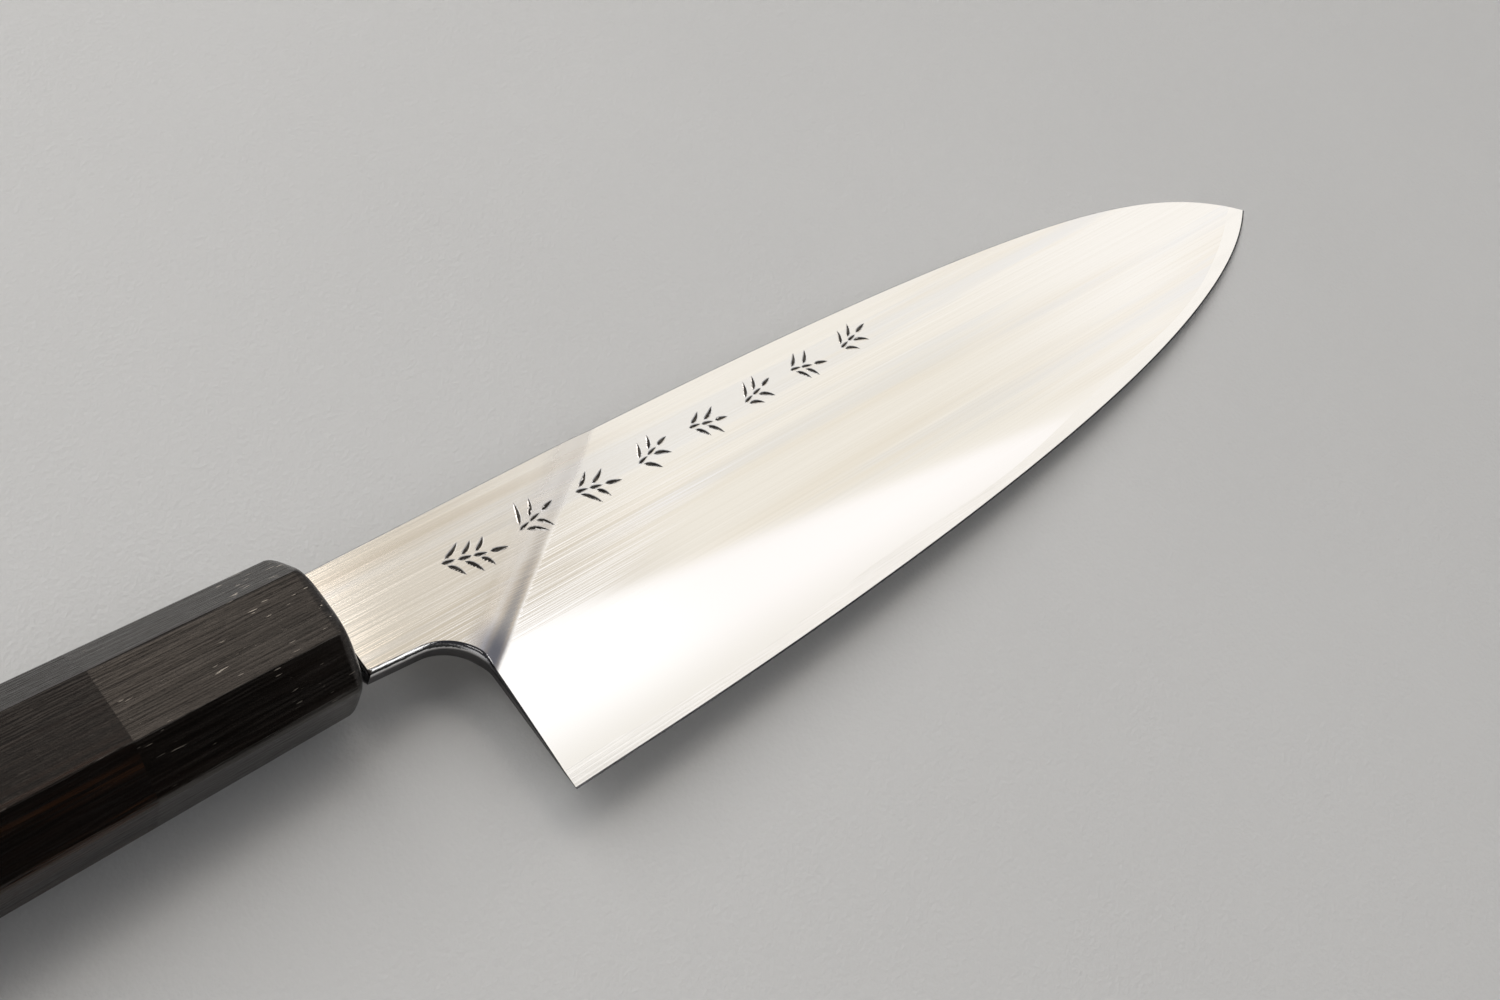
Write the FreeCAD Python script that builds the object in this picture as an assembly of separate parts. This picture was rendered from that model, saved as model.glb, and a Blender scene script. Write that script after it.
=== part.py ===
import FreeCAD, Part
import math
import os

# Chef knife with a three-layer blade and a two-part octagonal handle. Millimetres.
# The knife is drawn along its handle axis: the origin is on that axis just behind the ferrule's
# front face, +X runs to the tip, +Y to the spine and +Z out of the front face of the blade. At the
# end every piece is pitched down together and set on z = 0, as the knife lies on a table: on the
# lower front rim of its ferrule and on the tip of its blade.

V = FreeCAD.Vector

# Blade outline
SHOULDER_X = 2.4            # where the neck ends and the narrower tang starts
HEEL_X = 17.75
HEEL_TOP_X = 18.1           # upper end of the straight back of the heel
EDGE_Y = -38.8              # cutting edge at the heel
EDGE_FLAT_END = 34.0        # the edge is straight from the heel to here
TIP_X = 225.8
NECK_BOTTOM_Y = -10.0       # underside of the neck at the shoulder
NECK_SLOPE = -0.065         # and its fall towards the choil
CHOIL_R = 8.0
EDGE_RISE = ((14.635, 2), (9.12, 6), (2.345, 23))      # height gained by the tip, power
SPINE_SHAPE = ((8.142, 0), (3.715, 1), (-13.487, 3), (-11.069, 13))

# Blade thickness, all as half thickness
EDGE_HALF = 0.08
GROUND_HALF = 1.42          # gained between the edge and the spine at the heel
GROUND_DEPTH = 50.0         # distance over which the convex grind levels out
GROUND_POWER = 1.8
TAPER_PER_MM = 0.0022       # thinning from heel to tip
NECK_HALF = 1.95
NECK_TAPER = 0.004
PLUNGE_POINT = (19.2, -16.27)    # the flat neck meets the ground blade along a slanted line here
PLUNGE_NORMAL = (0.5684, -0.8227)
PLUNGE_START = -2.8         # the plunge begins softly this far from the line
PLUNGE_END = 1.2            # and ends more sharply here

# Layers: the core's faces are planes, and the cladding stops short of the edge
CORE_HALF = 0.145
CORE_PER_Y = 0.005
CORE_PER_X = 0.0006
CLAD_OFFSET = 2.6
CLAD_WAVE = 0.6
CLAD_WAVE_LENGTH = 11.0
CLAD_TIP_RISE = 1.6

# Tang
TANG_END_X = -108.0
TANG_FRONT = (4.7, 1.78)    # half height, half thickness where it leaves the neck
TANG_BACK = (2.2, 1.2)
TANG_ROOT_X = 5.0           # it is rooted this far forward, inside the neck

# Handle, an octagon that grows towards the butt
HANDLE_LENGTH = 140.0       # lengths are measured from the origin
FERRULE_LENGTH = 30.6
FERRULE_FRONT_X = 0.9
HALF_HEIGHT = 11.8
HALF_THICKNESS = 10.4
CORNER_LEG = 6.3
HEIGHT_GROWTH = 0.0098
THICKNESS_GROWTH = 0.013
CORNER_GROWTH = 0.0045
RIM_ROUND = 2.1
FACET_ROUND = 0.35
BUTT_ROUND = 0.9

# Inside the handle
DOWEL_R = 7.5
DOWEL_FRONT_X = -7.0
DOWEL_BACK_X = -62.0
POCKET_START_X = 2.0
POCKET_END_X = -112.0
POCKET_FRONT = (5.2, 2.25)  # half height, half thickness at the ferrule's mouth
POCKET_BACK = (3.0, 1.7)
SEAL_DEPTH = 2.0
SEAL_RECESS = 0.3

# Construction
REACH = 8.0                 # how far tools that cut the blade reach out of its middle plane
GRID_STEP = 1.5             # spacing of the points that the ground faces are drawn through
FACE_SPAN = ((-4.0, 231.0), (-46.0, 14.0))      # x and y that the ground faces cover
LINE_STEP = 8.0             # spacing of the points that the clad line is drawn through
ZONE_TOP_Y = 14.0
CLEAR = 5.0                 # how far cutting tools run past the blade
SPINE_STATIONS = (SHOULDER_X, 25, 60, 95, 125, 155, 180, 200, 212, 220)
EDGE_STATIONS = (EDGE_FLAT_END, 60, 90, 120, 145, 165, 185, 200, 212, 220)


def edge_y(x):
    """Height of the cutting edge at x."""
    u = max(0.0, (x - EDGE_FLAT_END) / (TIP_X - EDGE_FLAT_END))
    return EDGE_Y + sum(rise * u ** power for rise, power in EDGE_RISE)


def spine_y(x):
    """Height of the spine at x."""
    return sum(factor * (x / TIP_X) ** power for factor, power in SPINE_SHAPE)


def clad_y(x):
    """Height of the line near the edge where the cladding ends and the core shows."""
    u = max(0.0, (x - EDGE_FLAT_END) / (TIP_X - EDGE_FLAT_END))
    return edge_y(x) + CLAD_OFFSET + CLAD_WAVE * math.sin(x / CLAD_WAVE_LENGTH) + CLAD_TIP_RISE * u ** 8


def face_height(x, y):
    """Half thickness of the blade at (x, y)."""
    slope = edge_y(x + 0.5) - edge_y(x - 0.5)
    above = (y - edge_y(x)) / math.hypot(1, slope)
    share = min(1.0, above / GROUND_DEPTH)
    taper = 1 - TAPER_PER_MM * (x - HEEL_X)
    ground = EDGE_HALF + GROUND_HALF * (1 - (1 - share) ** GROUND_POWER) * taper
    neck = NECK_HALF - NECK_TAPER * (x - SHOULDER_X)
    across = (x - PLUNGE_POINT[0]) * PLUNGE_NORMAL[0] + (y - PLUNGE_POINT[1]) * PLUNGE_NORMAL[1]
    t = min(1.0, max(0.0, (across - PLUNGE_START) / (PLUNGE_END - PLUNGE_START)))
    return neck + (ground - neck) * t ** 3 * (4 - 3 * t)


def core_height(x, y):
    """Half thickness of the core layer, which is planar on each side."""
    return CORE_HALF + CORE_PER_Y * (y - EDGE_Y) - CORE_PER_X * x


def spline(points):
    curve = Part.BSplineCurve()
    curve.interpolate(points)
    return curve.toShape()


def block(first, second):
    """Solid between two polygons with the same number of corners, every face planar."""
    count = len(first)
    faces = [Part.Face(Part.makePolygon(p + p[:1])) for p in (first, second)]
    for i in range(count):
        j = (i + 1) % count
        faces.append(Part.Face(Part.makePolygon([first[i], first[j], second[j], second[i], first[i]])))
    shape = Part.Solid(Part.Shell(faces))
    if shape.Volume < 0:
        shape.reverse()
    return shape


def steps(start, stop, step):
    """Numbers from start up to stop, evenly spaced."""
    return [start + step * i for i in range(int((stop - start) / step) + 1)]


def choil_centre():
    """Middle of the choil's arc, which touches the neck's sloping underside and the back of the heel."""
    x = HEEL_TOP_X - CHOIL_R
    under = NECK_BOTTOM_Y + NECK_SLOPE * (x - SHOULDER_X)
    return V(x, under - CHOIL_R * math.hypot(1, NECK_SLOPE), 0)


def blade_outline():
    """Face in the middle plane: spine, tip, edge, heel, choil arc and neck."""
    tip = V(TIP_X, edge_y(TIP_X), 0)
    spine = [V(x, spine_y(x), 0) for x in SPINE_STATIONS] + [tip]
    edge = [V(x, edge_y(x), 0) for x in EDGE_STATIONS] + [tip]
    heel = V(HEEL_X, EDGE_Y, 0)
    centre = choil_centre()
    start = math.atan(-NECK_SLOPE)
    middle = (start + math.pi / 2) / 2
    heel_top = centre + V(CHOIL_R, 0, 0)
    choil_mid = centre + V(math.sin(middle), math.cos(middle), 0) * CHOIL_R
    choil_end = centre + V(math.sin(start), math.cos(start), 0) * CHOIL_R
    shoulder = V(SHOULDER_X, NECK_BOTTOM_Y, 0)
    parts = [
        spline(spine),
        spline(edge),
        Part.makeLine(edge[0], heel),
        Part.makeLine(heel, heel_top),
        Part.Arc(heel_top, choil_mid, choil_end).toShape(),
        Part.makeLine(choil_end, shoulder),
        Part.makeLine(shoulder, spine[0]),
    ]
    return Part.Face(Part.Wire(Part.__sortEdges__(parts)))


def under_face(side):
    """Everything from the blade's ground face on one side (+1 front, -1 back) through to the other side."""
    xs = steps(*FACE_SPAN[0], GRID_STEP)
    ys = steps(*FACE_SPAN[1], GRID_STEP)
    grid = [[V(x, y, side * face_height(x, y)) for y in ys] for x in xs]
    surface = Part.BSplineSurface()
    surface.interpolate(grid)
    return surface.toShape().extrude(V(0, 0, -side * REACH))


def tang():
    def section(x, half_height, half_thickness):
        return [V(x, a * half_height, b * half_thickness) for a, b in ((1, 1), (-1, 1), (-1, -1), (1, -1))]

    return block(section(TANG_ROOT_X, *TANG_FRONT), section(TANG_END_X, *TANG_BACK))


def blade_stock():
    """The whole blade with its tang, before it is divided into layers."""
    prism = blade_outline().extrude(V(0, 0, 2 * REACH))
    prism.translate(V(0, 0, -REACH))
    blade = prism.common(under_face(1)).common(under_face(-1))
    return blade.fuse(tang()).removeSplitter()


def cladding_zone(side):
    """Space that the cladding of one side fills: outside the core's plane and above the clad line."""
    back_x, front_x = TANG_END_X - CLEAR, TIP_X + LINE_STEP
    line = [V(x, clad_y(x), 0) for x in steps(HEEL_X - LINE_STEP, front_x, LINE_STEP)]
    corners = [
        line[-1],
        V(line[-1].x, ZONE_TOP_Y, 0),
        V(back_x, ZONE_TOP_Y, 0),
        V(back_x, line[0].y, 0),
        line[0],
    ]
    edges = [spline(line)] + [Part.makeLine(a, b) for a, b in zip(corners, corners[1:])]
    zone = Part.Face(Part.Wire(Part.__sortEdges__(edges))).extrude(V(0, 0, side * REACH))
    left, right = back_x - CLEAR, front_x + CLEAR
    low, high = EDGE_Y - CLEAR, ZONE_TOP_Y + CLEAR
    ring = [(left, low), (right, low), (right, high), (left, high)]
    inner = [V(x, y, side * core_height(x, y)) for x, y in ring]
    outer = [V(x, y, side * 2 * REACH) for x, y in ring]
    return zone.common(block(inner, outer))


def octagon(x):
    """The handle's outline at x."""
    back = -x
    h = HALF_HEIGHT + HEIGHT_GROWTH * back
    t = HALF_THICKNESS + THICKNESS_GROWTH * back
    c = CORNER_LEG + CORNER_GROWTH * back
    front = [(h, t - c), (h - c, t), (c - h, t), (-h, t - c)]
    behind = [(y, -z) for y, z in reversed(front)]
    return [V(x, y, z) for y, z in front + behind]


def rounded_octagon(front, back, end_x, end_round):
    """A stretch of the handle with eased facet edges and one rounded end."""
    body = block(octagon(front), octagon(back))
    lengthwise = [e for e in body.Edges if abs(e.Vertexes[0].X - e.Vertexes[1].X) > 1]
    body = body.makeFillet(FACET_ROUND, lengthwise)
    rim = [e for e in body.Edges if all(abs(v.X - end_x) < 1e-6 for v in e.Vertexes)]
    return body.makeFillet(end_round, rim)


def pocket(front_x, back_x):
    """Tapered slot for the tang between two stations of the handle."""
    def section(x):
        share = x / POCKET_END_X
        h = POCKET_FRONT[0] + (POCKET_BACK[0] - POCKET_FRONT[0]) * share
        t = POCKET_FRONT[1] + (POCKET_BACK[1] - POCKET_FRONT[1]) * share
        return [V(x, a * h, b * t) for a, b in ((1, 1), (-1, 1), (-1, -1), (1, -1))]

    return block(section(front_x), section(back_x))


def rest_placement():
    """Pitch that brings the ferrule's lower front rim and the blade's tip to one level."""
    rest_x = FERRULE_FRONT_X - RIM_ROUND
    rim_drop = HALF_THICKNESS - THICKNESS_GROWTH * rest_x
    pitch = math.atan2(rim_drop - EDGE_HALF, TIP_X - rest_x)
    return FreeCAD.Placement(V(0, 0, 0), FreeCAD.Rotation(V(0, 1, 0), math.degrees(pitch)))


def make_pieces():
    stock = blade_stock()
    zones = {side: cladding_zone(side) for side in (1, -1)}
    dowel = Part.makeCylinder(DOWEL_R, DOWEL_FRONT_X - DOWEL_BACK_X, V(DOWEL_BACK_X, 0, 0), V(1, 0, 0))
    slot = pocket(POCKET_START_X, POCKET_END_X)
    ferrule = rounded_octagon(FERRULE_FRONT_X, -FERRULE_LENGTH, FERRULE_FRONT_X, RIM_ROUND)
    grip = rounded_octagon(-FERRULE_LENGTH, -HANDLE_LENGTH, -HANDLE_LENGTH, BUTT_ROUND)
    return {
        "blade_core": stock.cut(zones[1]).cut(zones[-1]),
        "cladding_front": stock.common(zones[1]),
        "cladding_back": stock.common(zones[-1]),
        "ferrule": ferrule.cut(dowel).cut(slot),
        "handle_grip": grip.cut(dowel).cut(slot),
        "handle_dowel": dowel.cut(slot),
        "tang_bedding": pocket(-SEAL_DEPTH, POCKET_END_X).cut(stock),
        "mouth_seal": pocket(-SEAL_RECESS, -SEAL_DEPTH).cut(stock),
    }


def main():
    os.makedirs("parts", exist_ok=True)
    pieces = make_pieces()
    placement = rest_placement()
    placed = {name: shape.transformed(placement.toMatrix(), True) for name, shape in pieces.items()}
    box = Part.makeCompound(list(placed.values())).optimalBoundingBox(False)
    to_floor = V(-(box.XMin + box.XMax) / 2, -(box.YMin + box.YMax) / 2, -box.ZMin)
    for name, shape in placed.items():
        shape.translate(to_floor)
        for solid in shape.Solids:
            if solid.Volume <= 0 or not solid.isValid():
                raise ValueError(name + " has a bad solid")
        shape.exportStep("parts/" + name + ".step")
        print(name, len(shape.Solids), "solid", round(shape.Volume, 1), "mm3")
    print("pitch", math.degrees(placement.Rotation.Angle), "shift", to_floor)
    print("box", box)


main()
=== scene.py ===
import math
import random
import bpy
import numpy as np
from mathutils import Matrix, Vector
from mathutils.geometry import delaunay_2d_cdt


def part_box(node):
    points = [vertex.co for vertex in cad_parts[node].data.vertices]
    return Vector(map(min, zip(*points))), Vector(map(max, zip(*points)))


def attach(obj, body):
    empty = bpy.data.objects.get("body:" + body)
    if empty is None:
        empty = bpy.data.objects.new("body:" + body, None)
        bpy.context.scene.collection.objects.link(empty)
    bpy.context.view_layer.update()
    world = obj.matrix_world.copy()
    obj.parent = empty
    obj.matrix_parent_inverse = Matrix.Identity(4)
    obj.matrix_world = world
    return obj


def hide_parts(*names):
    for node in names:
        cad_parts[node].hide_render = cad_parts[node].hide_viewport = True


# Chef knife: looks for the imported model. Shapes are worked out in millimetres in the knife's own
# axes (origin on the handle's axis just behind the ferrule's front face, +X to the tip, +Y to the
# spine, +Z out of the blade's front face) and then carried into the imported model's frame, in metres.

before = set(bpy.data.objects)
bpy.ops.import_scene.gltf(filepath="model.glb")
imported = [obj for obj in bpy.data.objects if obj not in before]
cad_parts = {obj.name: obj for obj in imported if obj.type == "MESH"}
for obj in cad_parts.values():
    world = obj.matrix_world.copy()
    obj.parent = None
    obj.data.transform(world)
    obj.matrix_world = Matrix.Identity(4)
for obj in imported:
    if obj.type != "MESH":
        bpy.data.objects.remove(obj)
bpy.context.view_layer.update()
MM = 0.001

# ------ dimensions, as in the CAD source
SHOULDER_X = 2.4
HEEL_X = 17.75
HEEL_TOP_X = 18.1
EDGE_Y = -38.8
EDGE_FLAT_END = 34.0
TIP_X = 225.8
NECK_BOTTOM_Y = -10.0
NECK_SLOPE = -0.065
CHOIL_R = 8.0
EDGE_RISE = ((14.635, 2), (9.12, 6), (2.345, 23))
SPINE_SHAPE = ((8.142, 0), (3.715, 1), (-13.487, 3), (-11.069, 13))
EDGE_HALF = 0.08
GROUND_HALF = 1.42
GROUND_DEPTH = 50.0
GROUND_POWER = 1.8
TAPER_PER_MM = 0.0022
NECK_HALF = 1.95
NECK_TAPER = 0.004
PLUNGE_POINT = (19.2, -16.27)
PLUNGE_NORMAL = (0.5684, -0.8227)
PLUNGE_START = -2.8
PLUNGE_END = 1.2
CORE_HALF = 0.145
CORE_PER_Y = 0.005
CORE_PER_X = 0.0006
CLAD_OFFSET = 2.6
CLAD_WAVE = 0.6
CLAD_WAVE_LENGTH = 11.0
CLAD_TIP_RISE = 1.6
TANG_END_X = -108.0
TANG_FRONT = (4.7, 1.78)
TANG_BACK = (2.2, 1.2)
TANG_ROOT_X = 5.0
FERRULE_FRONT_X = 0.9
HANDLE_LENGTH = 140.0
FERRULE_LENGTH = 30.6
HALF_HEIGHT = 11.8
HALF_THICKNESS = 10.4
CORNER_LEG = 6.3
HEIGHT_GROWTH = 0.0098
THICKNESS_GROWTH = 0.013
CORNER_GROWTH = 0.0045
RIM_ROUND = 2.1
BUTT_ROUND = 0.9
DOWEL_R = 7.5
DOWEL_FRONT_X = -7.0
DOWEL_BACK_X = -62.0
POCKET_END_X = -112.0
POCKET_FRONT = (5.2, 2.25)
POCKET_BACK = (3.0, 1.7)

# Finish that only the looks have
CHOIL_ROUND_SHARE = 0.66    # how much of the half thickness the polished underside is rounded over
CHOIL_SQUARE = 0.21         # and how much of it, next to the middle, is left out of that
SPINE_ROUND = 0.35
SPINE_ROOM_SHARE = 0.8      # the spine's rounding stays within this much of the cladding's thickness
SPINE_ROOM_SPARE = 0.05     # less this
TANG_ROUND = 0.2
ROUND_ROWS = 10
ROUND_START = math.radians(12)      # the rounding leaves the flat face at this angle
EDGE_BEVEL = 0.3            # width of the last sharpening bevel
EDGE_BEVEL_HALF = 0.02      # half thickness that it ends in
FACET_ROUND = 0.4
SIDE_ROUND = 2.2
NOSE_ROUND = 9.0
NOSE_POWER = 1.5            # how soon behind the front rim the octagon has its own corners again
CORNER_POINTS = 6
RIM_STEPS = 8
STATION_STEP = 8.0
BORE_POINTS = 48
OUTLINE_STEP = 1.0
CHOIL_STEPS = 28
GRID_STEP = 1.6
PLUNGE_GRID_STEP = 0.55
EDGE_GRID_STEP = 1.1
GRID_CLEARANCE = 0.45       # share of the step that a grid keeps clear of its outline
NORMAL_STEP = 0.15
SHARP_TURN = math.cos(math.radians(20))
STRAIGHT_TURN = 0.15        # sine of the turn below which the edge strip runs straight on
GRAIN_UV_PER_METRE = 4
SATIN, POLISHED, CUT_INSIDE = range(3)      # material slots of the blade's pieces

# ------ knife axes to model frame
REST_X = FERRULE_FRONT_X - RIM_ROUND
PITCH = math.atan2(HALF_THICKNESS - THICKNESS_GROWTH * REST_X - EDGE_HALF, TIP_X - REST_X)
TURN = Matrix.Rotation(PITCH, 3, "Y")
dowel_low, dowel_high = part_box("handle_dowel")
DOWEL_MIDDLE = Vector(((DOWEL_FRONT_X + DOWEL_BACK_X) / 2, 0, 0)) * MM
SHIFT = (dowel_low + dowel_high) / 2 - TURN @ DOWEL_MIDDLE


def place(points):
    """Knife millimetres to model-frame metres, for an array of points."""
    return np.asarray(points, float) * MM @ np.array(TURN).T + np.array(SHIFT)


def direct(vectors):
    """Directions in knife axes, turned into the model's frame."""
    return np.asarray(vectors, float) @ np.array(TURN).T


def unit(vectors):
    return vectors / np.linalg.norm(vectors, axis=-1, keepdims=True)


def new_object(name, data):
    holder = bpy.data.objects.new(name, data)
    bpy.context.scene.collection.objects.link(holder)
    return holder


# ------ blade formulas
def edge_y(x):
    u = np.maximum(0.0, (x - EDGE_FLAT_END) / (TIP_X - EDGE_FLAT_END))
    return EDGE_Y + sum(rise * u**power for rise, power in EDGE_RISE)


def spine_y(x):
    return sum(factor * (x / TIP_X) ** power for factor, power in SPINE_SHAPE)


def clad_y(x):
    u = np.maximum(0.0, (x - EDGE_FLAT_END) / (TIP_X - EDGE_FLAT_END))
    wave = CLAD_WAVE * np.sin(x / CLAD_WAVE_LENGTH)
    return edge_y(x) + CLAD_OFFSET + wave + CLAD_TIP_RISE * u**8


def tang_half(x, front, back):
    along = np.clip((x - TANG_END_X) / (TANG_ROOT_X - TANG_END_X), 0.0, 1.0)
    return back + (front - back) * along


def across_plunge(x, y):
    """Distance from the plunge's line, towards the edge and tip."""
    return (x - PLUNGE_POINT[0]) * PLUNGE_NORMAL[0] + (y - PLUNGE_POINT[1]) * PLUNGE_NORMAL[1]


def face_height(x, y):
    """Half thickness of blade, neck or tang at (x, y)."""
    slope = edge_y(x + 0.5) - edge_y(x - 0.5)
    above = (y - edge_y(x)) / np.sqrt(1 + slope * slope)
    share = np.clip(above / GROUND_DEPTH, 0.0, 1.0)
    taper = 1 - TAPER_PER_MM * (x - HEEL_X)
    ground = EDGE_HALF + GROUND_HALF * (1 - (1 - share) ** GROUND_POWER) * taper
    neck = NECK_HALF - NECK_TAPER * (x - SHOULDER_X)
    t = np.clip((across_plunge(x, y) - PLUNGE_START) / (PLUNGE_END - PLUNGE_START), 0.0, 1.0)
    blade = neck + (ground - neck) * t**3 * (4 - 3 * t)
    return np.where(x < SHOULDER_X - 0.01, tang_half(x, TANG_FRONT[1], TANG_BACK[1]), blade)


def face_normal(x, y):
    """Outward direction of the front face."""
    step = NORMAL_STEP
    x = np.maximum(x, SHOULDER_X + step)
    dx = (face_height(x + step, y) - face_height(x - step, y)) / (2 * step)
    dy = (face_height(x, y + step) - face_height(x, y - step)) / (2 * step)
    return unit(np.stack([-dx, -dy, np.ones_like(dx)], -1))


def core_height(x, y):
    return CORE_HALF + CORE_PER_Y * (y - EDGE_Y) - CORE_PER_X * x


def clad_tip_x():
    """Where the clad line runs out at the spine, found by halving."""
    low, high = 200.0, TIP_X
    for _ in range(40):
        middle = (low + high) / 2
        if clad_y(middle) < spine_y(middle):
            low = middle
        else:
            high = middle
    return low


# ------ mesh helpers
class Soup:
    """Faces with a normal for each corner and a material slot, welded into one mesh at the end."""

    def __init__(self):
        self.faces = []

    def add(self, corners, normals, finish=SATIN):
        self.faces.append((corners, normals, finish))

    def add_flat(self, corners, finish=SATIN):
        a, b, c = (np.array(p, float) for p in corners[:3])
        normal = np.cross(b - a, c - a)
        normal = normal / max(np.linalg.norm(normal), 1e-12)
        self.add(corners, [normal] * len(corners), finish)

    def mirrored(self):
        """The same faces on the back of the blade."""
        flip = np.array((1, 1, -1))
        other = Soup()
        for corners, normals, finish in self.faces:
            points = [np.array(p) * flip for p in reversed(corners)]
            other.add(points, [np.array(n) * flip for n in reversed(normals)], finish)
        return other

    def piece(self, name, materials):
        """The visible object. Its UV map gives the direction of the grain."""
        index, points, faces, normals, finishes = {}, [], [], [], []
        for corners, corner_normals, finish in self.faces:
            face, face_normals = [], []
            for point, normal in zip(corners, corner_normals):
                key = tuple(round(float(c) * 1e5) for c in point)
                if key not in index:
                    index[key] = len(points)
                    points.append(point)
                if index[key] not in face:
                    face.append(index[key])
                    face_normals.append(normal)
            if len(face) > 2:
                faces.append(face)
                normals.extend(face_normals)
                finishes.append(finish)
        mesh = bpy.data.meshes.new(name)
        mesh.from_pydata(place(points).tolist(), [], faces)
        mesh.polygons.foreach_set("use_smooth", [True] * len(faces))
        mesh.polygons.foreach_set("material_index", finishes)
        grain = mesh.uv_layers.new(name="grain")
        flat = np.array(points)[[v for face in faces for v in face]]
        grain.data.foreach_set("uv", (flat[:, [1, 0]] * MM * GRAIN_UV_PER_METRE + 0.5).ravel())
        mesh.normals_split_custom_set(direct(normals).tolist())
        for material in materials:
            mesh.materials.append(material)
        return new_object(name, mesh)


def triangulate(points, edges):
    """Triangles, counter-clockwise, inside the outermost of the edges. Returns points, triangles, and
    for each point its number in the input or None for a new one."""
    flat = [Vector((float(x), float(y))) for x, y in points]
    found = delaunay_2d_cdt(flat, edges, [], 1, 1e-6)
    sources = [origins[0] if origins else None for origins in found[3]]
    out = [points[s] if s is not None else tuple(v) for s, v in zip(sources, found[0])]
    return out, found[2], sources


def loop_edges(count, start=0):
    return [(start + i, start + (i + 1) % count) for i in range(count)]


def inside(points, outline):
    """Which points lie inside a closed outline."""
    x, y = points[:, 0:1], points[:, 1:2]
    ax, ay = outline[:, 0], outline[:, 1]
    bx, by = np.roll(ax, -1), np.roll(ay, -1)
    crosses = (ay > y) != (by > y)
    with np.errstate(divide="ignore", invalid="ignore"):
        at = ax + (y - ay) * (bx - ax) / (by - ay)
    return (crosses & (x < at)).sum(1) % 2 == 1


def gaps(points, others):
    """Each point's distance to the nearest of the others."""
    return np.sqrt(((points[:, None] - others[None]) ** 2).sum(-1)).min(1)


def grid_inside(outline, step):
    """A staggered grid of points inside an outline, clear of its corners."""
    low, high = outline.min(0), outline.max(0)
    rows = []
    for j, y in enumerate(np.arange(low[1] + step / 2, high[1], step * 0.87)):
        xs = np.arange(low[0] + step * (0.5 if j % 2 else 1.0), high[0], step)
        rows.append(np.stack([xs, np.full_like(xs, y)], -1))
    points = np.concatenate(rows)
    points = points[inside(points, outline)]
    return points[gaps(points, outline) > GRID_CLEARANCE * step]


def near_plunge(points, near):
    """Those of the points that are near the plunge, or those that aren't."""
    across = across_plunge(*points.T)
    close = (across > PLUNGE_START - 1) & (across < PLUNGE_END + 1)
    return points[close == near]


def line_points(a, b, step):
    """Points from a up to b, without b."""
    count = max(1, round(math.dist(a, b) / step))
    return [np.array(a) + (np.array(b) - np.array(a)) * i / count for i in range(count)]


def curve_points(height, x0, x1, step):
    """Points on y = height(x) from x0 up to x1, without the last."""
    count = max(2, round(abs(x1 - x0) / step))
    return [np.array((x, float(height(x)))) for x in np.linspace(x0, x1, count + 1)[:-1]]


def side_normals(outline):
    """Outward direction of the side after each point of a counter-clockwise outline."""
    sides = unit(np.roll(outline, -1, 0) - outline)
    return np.stack([sides[:, 1], -sides[:, 0]], -1)


def outward(outline):
    """Outward directions of the sides before and after each point of an outline, made equal where the
    outline runs on smoothly."""
    after = side_normals(outline)
    before = np.roll(after, 1, 0)
    mean = unit(before + after)
    smooth = ((before * after).sum(1) > SHARP_TURN)[:, None]
    return np.where(smooth, mean, before), np.where(smooth, mean, after)


def mitre(before, after):
    """How far an outline's corner moves when both of its sides move by one."""
    return (before + after) / (1 + (before * after).sum(1, keepdims=True))


# ------ blade outline
CHOIL_X = HEEL_TOP_X - CHOIL_R
ABOVE_CHOIL_Y = NECK_BOTTOM_Y + NECK_SLOPE * (CHOIL_X - SHOULDER_X)
CHOIL_CENTRE = np.array((CHOIL_X, ABOVE_CHOIL_Y - CHOIL_R * math.hypot(1, NECK_SLOPE)))
CLAD_TIP_X = clad_tip_x()
CLAD_HEEL_X = HEEL_X + (HEEL_TOP_X - HEEL_X) * CLAD_OFFSET / (CHOIL_CENTRE[1] - EDGE_Y)
TANG_ROOT_Y = float(tang_half(SHOULDER_X, TANG_FRONT[0], TANG_BACK[0]))
HEEL_CORNER = np.array((HEEL_X, EDGE_Y))
CLAD_HEEL = np.array((CLAD_HEEL_X, float(clad_y(CLAD_HEEL_X))))
CLAD_TIP = np.array((CLAD_TIP_X, float(spine_y(CLAD_TIP_X))))
TIP = np.array((TIP_X, float(edge_y(TIP_X))))


def choil_points():
    """From the neck's lower corner round the choil and down the back of the heel."""
    start = math.atan(-NECK_SLOPE)
    angles = [start + (math.pi / 2 - start) * i / CHOIL_STEPS for i in range(CHOIL_STEPS + 1)]
    arc = [CHOIL_CENTRE + CHOIL_R * np.array((math.sin(a), math.cos(a))) for a in angles]
    under_neck = line_points((SHOULDER_X, NECK_BOTTOM_Y), arc[0], OUTLINE_STEP)
    return under_neck + arc[:-1] + line_points(arc[-1], CLAD_HEEL, OUTLINE_STEP)


def clad_line_points():
    """From the heel to the spine, where the cladding ends above the cutting edge."""
    start = CLAD_HEEL_X + OUTLINE_STEP
    return [CLAD_HEEL] + curve_points(clad_y, start, CLAD_TIP_X, OUTLINE_STEP)


def spine_points():
    """From the clad line's end back to the neck's upper corner."""
    return [CLAD_TIP] + curve_points(spine_y, CLAD_TIP_X - 0.7, SHOULDER_X, OUTLINE_STEP)


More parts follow.
